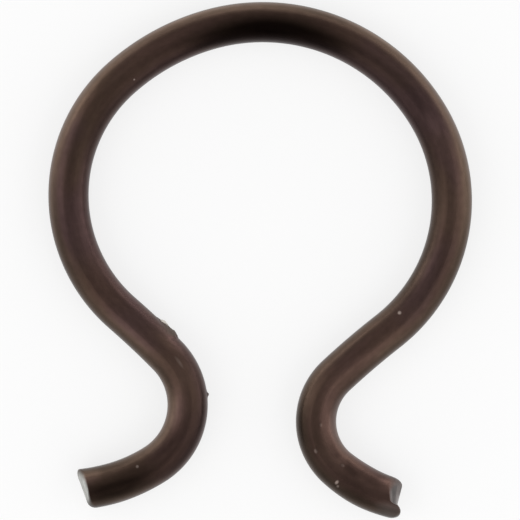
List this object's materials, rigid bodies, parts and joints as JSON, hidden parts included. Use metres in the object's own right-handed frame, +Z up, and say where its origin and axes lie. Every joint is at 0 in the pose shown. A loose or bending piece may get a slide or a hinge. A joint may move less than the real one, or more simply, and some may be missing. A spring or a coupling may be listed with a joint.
{
  "type": "locking clip",
  "caption": "Open loop of round spring wire with a narrow neck and out-turned feet, a clip that snaps into a groove round a shaft or pipe and locks it in place.",
  "frame": {"origin": "centre of the crown's arc, in the wire's mid-plane, where the axis of the clipped shaft passes", "axes": "the clip lies flat in XY: +Y from the feet towards the crown, +Z up along the clipped shaft"},
  "size_m": [0.0214, 0.0261, 0.002],
  "materials": {
    "oxide_wire": "spring steel wire with a dark brown semi-gloss oxide, bare steel on its sheared ends"
  },
  "bodies": {
    "root": {"clip_wire": "oxide_wire"}
  },
  "joints": []
}
